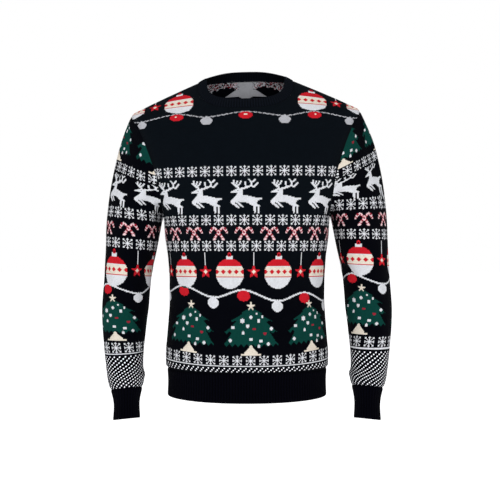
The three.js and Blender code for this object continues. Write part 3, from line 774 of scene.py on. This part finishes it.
def reindeer_chart():
    """A leaping deer seen from its left side, with branching antlers."""
    chart = Chart(38, 41)
    lines = [
        ([(11, 18), (24, 16)], (8.6, 8)), ([(12, 19), (13.4, 27)], (7.4, 4.6)),
        ([(11.6, 26.6), (2.4, 24.4)], (5.4, 1.8)), ([(14, 28), (17, 29.6)], (3, 1.8)),
        ([(28, 16.4), (36.6, 17)], (4.4, 2.2)),
        ([(11, 30), (8, 32), (4, 35.4)], (2, 2)), ([(5.6, 34), (6, 38.4)], (1.9, 1.7)),
        ([(7.6, 32.4), (10.4, 37.6)], (1.9, 1.7)), ([(8.6, 31.8), (12.6, 34), (14.4, 37.6)], (2, 1.7)),
        ([(15, 29), (20, 29.8), (25, 32), (29.4, 31), (33.2, 35)], (2.2, 1.9)),
        ([(20, 30), (18.8, 36.4)], (1.9, 1.6)),
        ([(25.4, 32), (26, 35.6), (23.2, 39.4)], (1.9, 1.7)),
        ([(26, 35.6), (30.2, 39)], (1.9, 1.7)),
        ([(8.6, 17), (4.2, 13.4)], (6.4, 4.4)), ([(4.2, 12.6), (11.2, 6.6)], (3, 1.9)),
        ([(9.4, 13.4), (15.8, 7.6)], (2.6, 1.8)),
        ([(29.4, 11), (29.6, 1)], (3, 1.8)), ([(30.6, 10), (34.4, 9), (34, 1)], (2.6, 1.8)),
    ]
    for points, widths in lines:
        chart.stroke(points, widths, WHITE)
    chart.disc(27.6, 14.2, 5, WHITE)
    chart.disc(10.6, 26.4, 0.9, GROUND)
    return chart


def cane_chart():
    chart = Chart(24, 16)
    for mirror in (False, True):
        points = [(17.2, 1), (15.2, 4.8), (11.8, 9.6), (8.8, 13.2), (6.3, 14.3), (4.2, 13.3), (2, 9)]
        if mirror:
            points = [(24 - x, y) for x, y in points]
        chart.stroke(points, (2.9, 2.8), [PINK, BERRY], stripe=1.75)
    return chart


def ornament_chart():
    """A round tree ornament on its cap beside a small star that hangs on a thread."""
    chart = Chart(60, 42)

    def ball(x, y):
        return (x - BALL_COLUMN) ** 2 + (y - 17.5) ** 2 < 17.4**2

    chart.area(ball, WHITE)
    chart.area(lambda x, y: ball(x, y) & (y > 25), RED)
    chart.area(lambda x, y: ball(x, y) & (y > 14) & (y < 25), CREAM)
    chart.area(lambda x, y: ball(x, y) & (np.abs(y - 25.5) < 1), WHITE)
    chart.area(lambda x, y: ball(x, y) & (np.abs(y - 13.5) < 1), RED)
    chart.area(lambda x, y: ball(x, y) & (np.abs((x - 15) % 8 - 4) + np.abs(y - 19.5) < 3.4), RED)
    chart.area(lambda x, y: (np.abs(x - BALL_COLUMN) < 3.6) & (np.abs(y - 36) < 1.9), WHITE)
    chart.disc(BALL_COLUMN, 39.4, 2.5, RED)
    chart.disc(BALL_COLUMN, 39.4, 1.1, GROUND)
    chart.area(lambda x, y: (np.abs(x - 48.5) < 0.6) & (y > 27), WHITE)
    chart.star(48.5, 19.5, 7.4, (6.4, 1.2), RED)
    chart.disc(48.5, 19.5, 2.2, CREAM)
    return chart


def garland_chart(height, crest, trough, bulb, rope, red, pale, dip=61):
    """A string of bulbs: red ones under its crests, pale ones under its troughs."""
    chart = Chart(80, height)
    xs = np.linspace(-4, 84, 240)
    swing = np.interp(xs, [dip - 80, BALL_COLUMN, dip, BALL_COLUMN + 80], [1, 0, 1, 0])
    swing = swing * swing * (3 - 2 * swing)
    chart.stroke(list(zip(xs, crest + (trough - crest) * swing)), (rope, rope), bulb)
    if bulb == SILVER:
        chart.area(lambda x, y: (x - 0.5 + 2 * (y - 0.5)) % 4 < 1, GROUND)
    chart.disc(BALL_COLUMN, red[0], red[1], RED, red[2] / red[1])
    chart.disc(dip, pale[0], pale[1], bulb, pale[2] / pale[1])
    chart.stroke([(dip, pale[0] + pale[2] - 1), (dip, trough)], (5, 3), bulb)
    if bulb == SILVER:
        chart.disc(BALL_COLUMN + 1, red[0] + 1.2, 1.2, CREAM)
    return chart


def tree_chart():
    chart = Chart(66, 60)
    chart.area(lambda x, y: (y < 14) & (np.abs(x - 33) < 10.6 - 0.86 * y), CREAM)
    chart.area(lambda x, y: (y < 2.2) & (np.abs(x - 33) < 12.4), CREAM)
    tiers = [(11, 25, 33, 23), (25, 37.6, 32, 18), (38, 47.4, 25.6, 8), (46.6, 54, 13.4, 0)]
    for low, high, wide, narrow in tiers:
        def tier(x, y):
            away = np.abs(x - 33) / wide
            t = (y - low) / (high - low)
            droop = (0.06 + 0.1 * np.cos(x * 0.9)) * (away > (0.72 if low > 20 else 0))
            edge = wide + (narrow - wide) * np.clip(t - 0.12, 0, 1) ** 0.8
            return (t > droop * (away < 1)) & (t < 1) & (np.abs(x - 33) < edge)
        chart.area(tier, GREEN)
    chart.area(lambda x, y: (y < 13) & (np.abs(x - 33) < 10.6 - 0.86 * y), CREAM)
    for x, y, size in (
        (8, 17, 2.3), (33, 18.5, 2.4), (45, 16.6, 2.3), (54, 12.8, 2.2), (23.5, 25.6, 2.3),
        (11, 31.4, 2.3), (58, 30, 2.2), (29, 33.4, 2.4), (22.6, 39, 3.1), (42.5, 39.2, 2.4),
        (33, 42.8, 2.3), (47, 43.2, 1.7), (40, 47, 1.6), (42.6, 10.8, 2.2),
    ):
        chart.disc(x, y, size * TREE_LIGHT, WHITE)
    for x, y in ((37, 30), (50, 24.8)):
        chart.disc(x, y, 1.9, BERRY, 0.8)
    chart.star(33, 55.2, 4.6, (3.2, 1.3), CREAM)
    return chart


def stepped_ramp(factor, colours, places):
    """A colour ramp in even steps, with room for so many places."""
    ramp = factor.node("ShaderNodeValToRGB", {}, {0: factor})
    band = ramp.socket.node.color_ramp
    band.interpolation = "CONSTANT"
    for k, colour in enumerate(colours):
        stop = band.elements[k] if k < 2 else band.elements.new(k / places)
        stop.position = k / places
        stop.color = colour
    return ramp


CHUNK, BAND = 24, 32  # columns that one number holds, and rows that one ramp holds


def chart_numbers(chart, planes, wale, course):
    """Each binary plane of a chart, in numbers that hold a chunk of one of its rows."""
    chunks = range(0, chart.cells.shape[1], CHUNK)
    numbers = {}
    for low in range(0, chart.cells.shape[0], BAND):
        rows = chart.cells[low : low + BAND]
        wanted = [(plane, left) for plane in planes for left in chunks]
        for start in range(0, len(wanted), 3):
            trio = wanted[start : start + 3]
            colours = []
            for row in rows:
                colour = [0.0, 0.0, 0.0, 1.0]
                for k, (plane, left) in enumerate(trio):
                    bits = (row[left : left + CHUNK] >> plane) & 1
                    whole = sum(int(bit) << (CHUNK - 1 - i) for i, bit in enumerate(bits))
                    colour[k] = whole / 2**CHUNK
                colours.append(colour)
            ramp = stepped_ramp((course - (low - 0.5)) / BAND, colours, BAND)
            parts = wale.node("ShaderNodeSeparateColor", {}, {0: ramp}).socket.node.outputs
            for k, key in enumerate(trio):
                numbers[(low, *key)] = Signal(wale.tree, parts[k])
    return numbers


def looked_up(chart, wale, course):
    """The three binary digits of a chart's yarn at a wale and a course, from whole numbers."""
    height, width = chart.cells.shape
    planes = [k for k in range(3) if ((chart.cells >> k) & 1).any()]
    chunks, bands = range(0, width, CHUNK), range(0, height, BAND)
    numbers = chart_numbers(chart, planes, wale, course)
    seen = course.between(-0.5, height - 0.5) * wale.between(-0.5, width - 0.5)
    in_band = {low: course.between(low - 0.5, min(low + BAND, height) - 0.5) for low in bands}
    in_chunk = {left: wale.between(left - 0.5, left + CHUNK - 0.5) for left in chunks}
    place = sum((in_chunk[left] * left for left in chunks if left), wale * 0)
    power = wale.math("ROUND", 2 ** (wale - place + 1))
    digits = [None, None, None]
    for plane in planes:
        shares = []
        for low in bands:
            for left in chunks:
                share = numbers[(low, plane, left)]
                if len(bands) > 1:
                    share = share * in_band[low]
                if len(chunks) > 1:
                    share = share * in_chunk[left]
                shares.append(share)
        code = sum(shares[1:], shares[0])
        digits[plane] = ((code * power).floor() % 2) * seen
    return digits


def joined(*sets):
    """Binary digits from charts that don't overlap, or where the first ones lie on top."""
    total = [None, None, None]
    for digits in sets:
        for k, digit in enumerate(digits):
            if digit is not None:
                total[k] = digit if total[k] is None else total[k].most(digit)
    return total


def knit_material(name):
    """A new material and its cloth's flat place, across and up, in metres."""
    material = bpy.data.materials.new(name)
    material.use_nodes = True
    tree = material.node_tree
    uv = tree.nodes.new("ShaderNodeUVMap")
    uv.uv_map = "cloth"
    parts = tree.nodes.new("ShaderNodeSeparateXYZ")
    tree.links.new(uv.outputs[0], parts.inputs[0])
    return material, Signal(tree, parts.outputs[0]), Signal(tree, parts.outputs[1])


def yarn_noise(u, v, scale, detail):
    place = u.node("ShaderNodeCombineXYZ", {}, {0: u, 1: v})
    inputs = {"Vector": place, "Scale": scale, "Detail": detail}
    return u.node("ShaderNodeTexNoise", {"noise_dimensions": "2D"}, inputs)


def knitted(material, yarn, shade, height, strength, depth, roughness):
    """The material in a yarn colour deepened by shade, over stitches of a height."""
    grey = shade.node("ShaderNodeCombineColor", {}, {0: shade, 1: shade, 2: shade})
    settings = {"data_type": "RGBA", "blend_type": "MULTIPLY"}
    colour = shade.node("ShaderNodeMix", settings, {0: 1.0, 6: yarn, 7: grey}, output=2)
    inputs = {"Strength": strength, "Distance": depth, "Height": height}
    bump = shade.node("ShaderNodeBump", {}, inputs)
    shader = material.node_tree.nodes["Principled BSDF"]
    material.node_tree.links.new(colour.socket, shader.inputs["Base Color"])
    material.node_tree.links.new(bump.socket, shader.inputs["Normal"])
    shader.inputs["Roughness"].default_value = roughness
    shader.inputs["Specular IOR Level"].default_value = 0.02
    shader.inputs["Sheen Weight"].default_value = 0.004
    shader.inputs["Sheen Roughness"].default_value = 0.5
    return material


def knit_relief(across, up):
    """The height of a plain knit stitch: two legs that open upwards, at stitch coordinates."""
    side = ((across % 1) * 2 - 1).abs()
    leg = 1 - (side * 2 - 1) ** 2
    loop = (up + side * 0.55) % 1
    bow = 1 - (loop * 2 - 1) ** 2
    return leg.most(0) * (bow.most(0) * 0.65 + 0.35)


# The lowest height of each band of the pattern, in millimetres, and its pitch in stitches
BANDS = {
    "snow": (-592, -363.5, -311, -211), "deer": -287.5, "cane": -341.2, "ornament": -438.5,
    "garland": -481.5, "tree": -568.5, "line": -593.2, "lights": -105,
    "shoulder_ornament": -66, "cap_tree": -187,
}
PITCH = {"deer": 46, "cane": 30, "ornament": 60, "garland": 80, "tree": 78}
SNOW_PITCH = 15
# Courses that the sleeves' rows lie above the body's
SLEEVE_STEPS = {"snow": (-2, -3, 2, 0), "line": -2, "ornament": -3}
# Where the middle of one motif lies in each band, in stitches from each piece's own middle line
MIDDLES = {
    "body": {
        "snow": (4, -4, -3, -2), "deer": -1, "cane": -3, "ornament": -10, "garland": -4, "tree": 5,
    },
    "sleeve_left": {
        "snow": (-46, -58, -60, -63), "deer": -35, "cane": -58, "ornament": -53, "garland": -76,
        "tree": -61,
    },
    "sleeve_right": {
        "snow": (34, 55, 58, 57), "deer": 82, "cane": 57, "ornament": 49, "garland": 27, "tree": 36,
    },
}
CAP_TREE_STEP = -20  # stitches from the sleeves' lower trees to the upper ones
SHOULDER_BALL = 78  # stitches from the body's middle to the ball on each shoulder
SHOULDER_SEAM_Y = 0.008  # metres
NECK_CLEAR = 58  # stitches beside the middle that stay plain below the front of the neck
GARLAND_SLOPE = 0.05
# The twill beside the lowest line: cells in each stitch, a dot's radius in cells, and the slant
TWILL_CELLS, TWILL_DOT, TWILL_SLANT = (0.46, 0.44), 0.4, 0.3
TWILL_END_Z, TWILL_SHADE = -608.5, 1.26
# The heights between which the reverse has no floats
FLOATS_BELOW_Z, FLOATS_ABOVE_Z = -188, -106
# Painted light: from this height up the body's ground fades into a lighter chest ground over so many
# millimetres, as the light falls from above
CHEST_PAINTED_LIGHT_GROUND, PAINTED_LIGHT_FROM_Z, PAINTED_LIGHT_FADE = srgb(8, 14, 20), -480, 200


def course_of(z):
    return round(z / STITCH)


def by_band(course, levels, values):
    """The value of the band that a course lies in, from the lowest band up."""
    total = course * 0 + values[0]
    for z, value, previous in zip(levels[1:], values[1:], values):
        if value != previous:
            total = total + (course > course_of(z) - 0.5) * (value - previous)
    return total


def motif(chart, wale, course, base, pitch, middle):
    """A chart all along a band, with the middle of one at a wale."""
    return looked_up(chart, (wale - (middle - chart.cells.shape[1] // 2)) % pitch, course - base)


def snow_rows(part, wale, course):
    levels = BANDS["snow"]
    if part != "body":
        levels = [z + STITCH * step for z, step in zip(levels, SLEEVE_STEPS["snow"])]
    bases = by_band(course, levels, [course_of(z) for z in levels])
    # The lowest row's flakes stand a stitch wider apart, but not on the right sleeve
    lowest = course < BANDS["snow"][1] / STITCH - 30
    pitch = lowest * (0 if part == "sleeve_right" else 1) + SNOW_PITCH
    middles = by_band(course, levels, MIDDLES[part]["snow"])
    return motif(SNOWFLAKE, wale, course, bases, pitch, middles)


def ornament_rows(part, across, wale, course):
    middle, pitch = MIDDLES[part]["ornament"], PITCH["ornament"]
    if part != "body":
        base = course_of(BANDS["ornament"]) + SLEEVE_STEPS["ornament"]
        return motif(ORNAMENT, wale, course, base, pitch, middle)
    # On the shoulders the ornaments run out from the middle to both sides
    levels = (BANDS["ornament"], BANDS["shoulder_ornament"])
    upper = course > course_of(levels[1]) - 0.5
    low_wale = (wale - (middle - ORNAMENT.cells.shape[1] // 2)) % pitch
    high_wale = (across.abs().floor() - (SHOULDER_BALL - BALL_COLUMN)) % pitch
    place = across.node("ShaderNodeTexCoord", output=3)
    y = across.node("ShaderNodeSeparateXYZ", {}, {0: place}, output=1)
    clear = 1 - upper * (across.abs() < NECK_CLEAR) * (1 - (y > SHOULDER_SEAM_Y))
    digits = looked_up(
        ORNAMENT, low_wale + (high_wale - low_wale) * upper,
        course - by_band(course, levels, [course_of(z) for z in levels]),
    )
    return [digit * clear for digit in digits]


def tree_rows(part, wale, course):
    levels, middles = [BANDS["tree"]], [MIDDLES[part]["tree"]]
    if part != "body":
        levels.append(BANDS["cap_tree"])
        middles.append(middles[0] + CAP_TREE_STEP)
    bases = by_band(course, levels, [course_of(z) for z in levels])
    return motif(TREE, wale, course, bases, PITCH["tree"], by_band(course, levels, middles))


def twill(part, across, up, course, top):
    """Dots in slanting rows below the lowest line."""
    slant = TWILL_SLANT if part == "sleeve_right" else 0
    cell_x, cell_y = (across - up * slant) * TWILL_CELLS[0], up * TWILL_CELLS[1]
    dot = ((cell_x % 1 - 0.5) ** 2 + (cell_y % 1 - 0.5) ** 2) < TWILL_DOT**2
    cells = ((cell_x.floor() - cell_y.floor()) % 3 < 0.5) * dot
    end = TWILL_END_Z / STITCH if part == "body" else -1000
    return cells * course.between(end, top)


def floats(part, across, course, number, noise):
    """The yarns on the reverse: grey floats behind the ground, and mixed ones at the neck."""
    busy = (course > FLOATS_ABOVE_Z / STITCH).most(course < FLOATS_BELOW_Z / STITCH)
    number = (number < 0.5) * busy * SILVER
    if part != "body":
        return number
    beside = across.abs()
    hill = 6.5 - ((beside - 26) / 7.5) ** 2 + (beside * 0.8).cos()
    dark = (course < hill) * (beside > 11 + (3 - course).most(0) * 1.6)
    mottled = (noise > 0.34) * SILVER - (noise > 0.62) * (SILVER - WHITE)
    mottled = mottled + (noise > 0.82) * (BERRY - WHITE)
    mottled = SILVER + (mottled - SILVER) * (beside > 8 + noise * 3) * (course > 2)
    return number + (mottled * (1 - dark) - number) * (course > -7)


def jacquard(name, part, reverse=False):
    material, u, v = knit_material(name)
    across, up = u * (1000 / STITCH), v * (1000 / STITCH)
    wale, course = across.floor(), up.floor()
    middle = MIDDLES[part]
    slope = GARLAND_SLOPE if part == "body" else 0
    garland_wale = (wale - (middle["garland"] - BALL_COLUMN)) % PITCH["garland"]
    garland_course = (up + across * slope).floor() - course_of(BANDS["garland"])
    sets = [
        snow_rows(part, wale, course),
        motif(REINDEER, wale, course, course_of(BANDS["deer"]), PITCH["deer"], middle["deer"]),
        motif(CANES, wale, course, course_of(BANDS["cane"]), PITCH["cane"], middle["cane"]),
        ornament_rows(part, across, wale, course),
        tree_rows(part, wale, course),
        looked_up(GARLAND, garland_wale, garland_course),
    ]
    if part == "body":
        aside = (across.abs().floor() + BALL_COLUMN) % PITCH["garland"]
        sets.append(looked_up(LIGHTS, aside, course - course_of(BANDS["lights"])))
    line_z = BANDS["line"] + (0 if part == "body" else STITCH * SLEEVE_STEPS["line"])
    line = up.between(line_z / STITCH - 0.4, line_z / STITCH + 0.8)
    check = twill(part, across, up, course, course_of(line_z) - 2.5)
    digits = joined(*sets)
    digits[0] = digits[0].most(line).most(check)
    number = digits[0] + digits[1] * 2 + digits[2] * 4
    stitch = u.node("ShaderNodeCombineXYZ", {}, {0: wale, 1: course})
    noise = u.node("ShaderNodeTexWhiteNoise", {"noise_dimensions": "2D"}, {"Vector": stitch})
    if reverse:
        number = floats(part, across, course, number, noise)
    yarn = stepped_ramp((number + 0.5) / len(YARNS), YARNS, len(YARNS))
    relief = knit_relief(across, up)
    shade = 0.62 + relief * 0.38 + (noise - 0.5) * 0.12 + (yarn_noise(u, v, 45.0, 3.0) - 0.5) * 0.16
    shade = shade + (TWILL_SHADE - shade) * check
    if part == "body" and not reverse:
        # painted light: the body's plain ground grows lighter towards the chest, as if lit from above
        painted_light = ((v * 1000 - PAINTED_LIGHT_FROM_Z) / PAINTED_LIGHT_FADE).most(0).least(1) * (number < 0.5)
        yarn = yarn.mixed(CHEST_PAINTED_LIGHT_GROUND, painted_light)
    height = relief + yarn_noise(u, v, 2600.0, 2.0) * 0.35
    return knitted(material, yarn, shade, height, 0.8, 0.0006, 0.85)


def rib_knit(name, colour):
    material, u, v = knit_material(name)
    relief = knit_relief(u * (1000 / (RIB_PITCH / 4)), v * (1000 / STITCH))
    noise = yarn_noise(u, v, 900.0, 3.0)
    ridge = 0.5 - 0.5 * (u * (2000 * math.pi / RIB_PITCH)).cos()
    shade = (0.6 + relief * 0.35 + noise * 0.2) * (0.5 + 0.8 * ridge)
    return knitted(material, colour, shade, relief + noise * 0.3, 0.7, 0.0005, 0.88)


SNOWFLAKE = snowflake_chart()
REINDEER = reindeer_chart()
CANES = cane_chart()
ORNAMENT = ornament_chart()
GARLAND = garland_chart(25, 22.6, 12.4, WHITE, 2, (16.4, 8, 6), (6.4, 7, 6.2))
LIGHTS = garland_chart(22, 20, 13.5, SILVER, 1.6, (15, 8.4, 5), (8.2, 6.8, 5.6), dip=64)
TREE = tree_chart()

body_knit = jacquard("body_jacquard", "body")
body_reverse = jacquard("body_jacquard_reverse", "body", reverse=True)
left_knit = jacquard("left_sleeve_jacquard", "sleeve_left")
right_knit = jacquard("right_sleeve_jacquard", "sleeve_right")
sleeve_reverse = jacquard("sleeve_jacquard_reverse", "sleeve_right", reverse=True)
rib = rib_knit("rib_knit", srgb(2, 2, 8))
# painted light: the neckband's rib is the hem's and cuffs' rib knit painted lighter, as the chest's
# ground is
lit_neck_rib = rib_knit("neck_rib_knit", srgb(11, 15, 22))

# The pieces; the panels come with their cut in metres and the bands with their length in millimetres
for name, side in (("front", FRONT), ("back", BACK)):
    piece, cut, area = panel(name, side, [body_knit, body_reverse])
for name, hand, knit in (("sleeve_left", LEFT, left_knit), ("sleeve_right", RIGHT, right_knit)):
    piece = sleeve(name, hand, [knit, sleeve_reverse])
for name, side in (("waistband_front", FRONT), ("waistband_back", BACK)):
    piece, length = waistband(name, side, rib)
for name, hand in (("cuff_left", LEFT), ("cuff_right", RIGHT)):
    piece, length = cuff(name, hand, rib)
piece, length = neckband("neckband", lit_neck_rib)


# Floor, light and camera, in metres

FLOOR_Z = -1.15
CAMERA_PLACE = (0.0064, -2.0, -0.361)
VIEW_WIDTH, SENSOR = 1.075, 36


def stage_floor():
    bm = bmesh.new()
    bmesh.ops.create_grid(bm, x_segments=1, y_segments=1, size=30)
    mesh = bpy.data.meshes.new("floor")
    bm.to_mesh(mesh)
    bm.free()
    floor = bpy.data.objects.new("floor", mesh)
    floor.location = (0, 0, FLOOR_Z)
    scene.collection.objects.link(floor)
    material = bpy.data.materials.new("floor")
    material.use_nodes = True
    shader = material.node_tree.nodes["Principled BSDF"]
    shader.inputs["Base Color"].default_value = (0.9, 0.9, 0.9, 1)
    shader.inputs["Roughness"].default_value = 1.0
    shader.inputs["Emission Color"].default_value = (1, 1, 1, 1)
    shader.inputs["Emission Strength"].default_value = 0.75
    mesh.materials.append(material)
    floor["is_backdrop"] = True


def area_light(name, location, size, power):
    data = bpy.data.lights.new(name, "AREA")
    data.size = size
    data.energy = power
    light = bpy.data.objects.new(name, data)
    light.location = location
    chest = Vector((0, 0, -0.35))
    light.rotation_euler = (chest - Vector(location)).to_track_quat("-Z", "Y").to_euler()
    scene.collection.objects.link(light)


def studio_world():
    """A white backdrop that lights the cloth as a grey one."""
    world = bpy.data.worlds.new("studio")
    world.use_nodes = True
    scene.world = world
    tree = world.node_tree
    background = tree.nodes["Background"]
    background.inputs["Strength"].default_value = 1.0
    path = tree.nodes.new("ShaderNodeLightPath")
    mix = tree.nodes.new("ShaderNodeMix")
    mix.data_type = "RGBA"
    tree.links.new(path.outputs["Is Camera Ray"], mix.inputs[0])
    mix.inputs[6].default_value = (0.5, 0.5, 0.51, 1)
    mix.inputs[7].default_value = (1, 1, 1, 1)
    tree.links.new(mix.outputs[2], background.inputs["Color"])


def photo_camera():
    data = bpy.data.cameras.new("camera")
    data.sensor_width = SENSOR
    data.lens = SENSOR * -CAMERA_PLACE[1] / VIEW_WIDTH
    camera = bpy.data.objects.new("camera", data)
    camera.location = CAMERA_PLACE
    camera.rotation_euler = (math.pi / 2, 0, 0)
    scene.collection.objects.link(camera)
    scene.camera = camera


stage_floor()
area_light("key", (-1.3, -2.4, 1.1), 1.6, 34)
area_light("fill", (1.6, -2.2, 0.4), 1.8, 20)
area_light("top", (0, 0.3, 2.0), 1.5, 12)
studio_world()
scene.view_settings.view_transform = "Standard"
photo_camera()

box = lambda b: [[float(x) for x in corner] for corner in b]
{"cad": box(cad_box), "visual": box(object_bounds())}
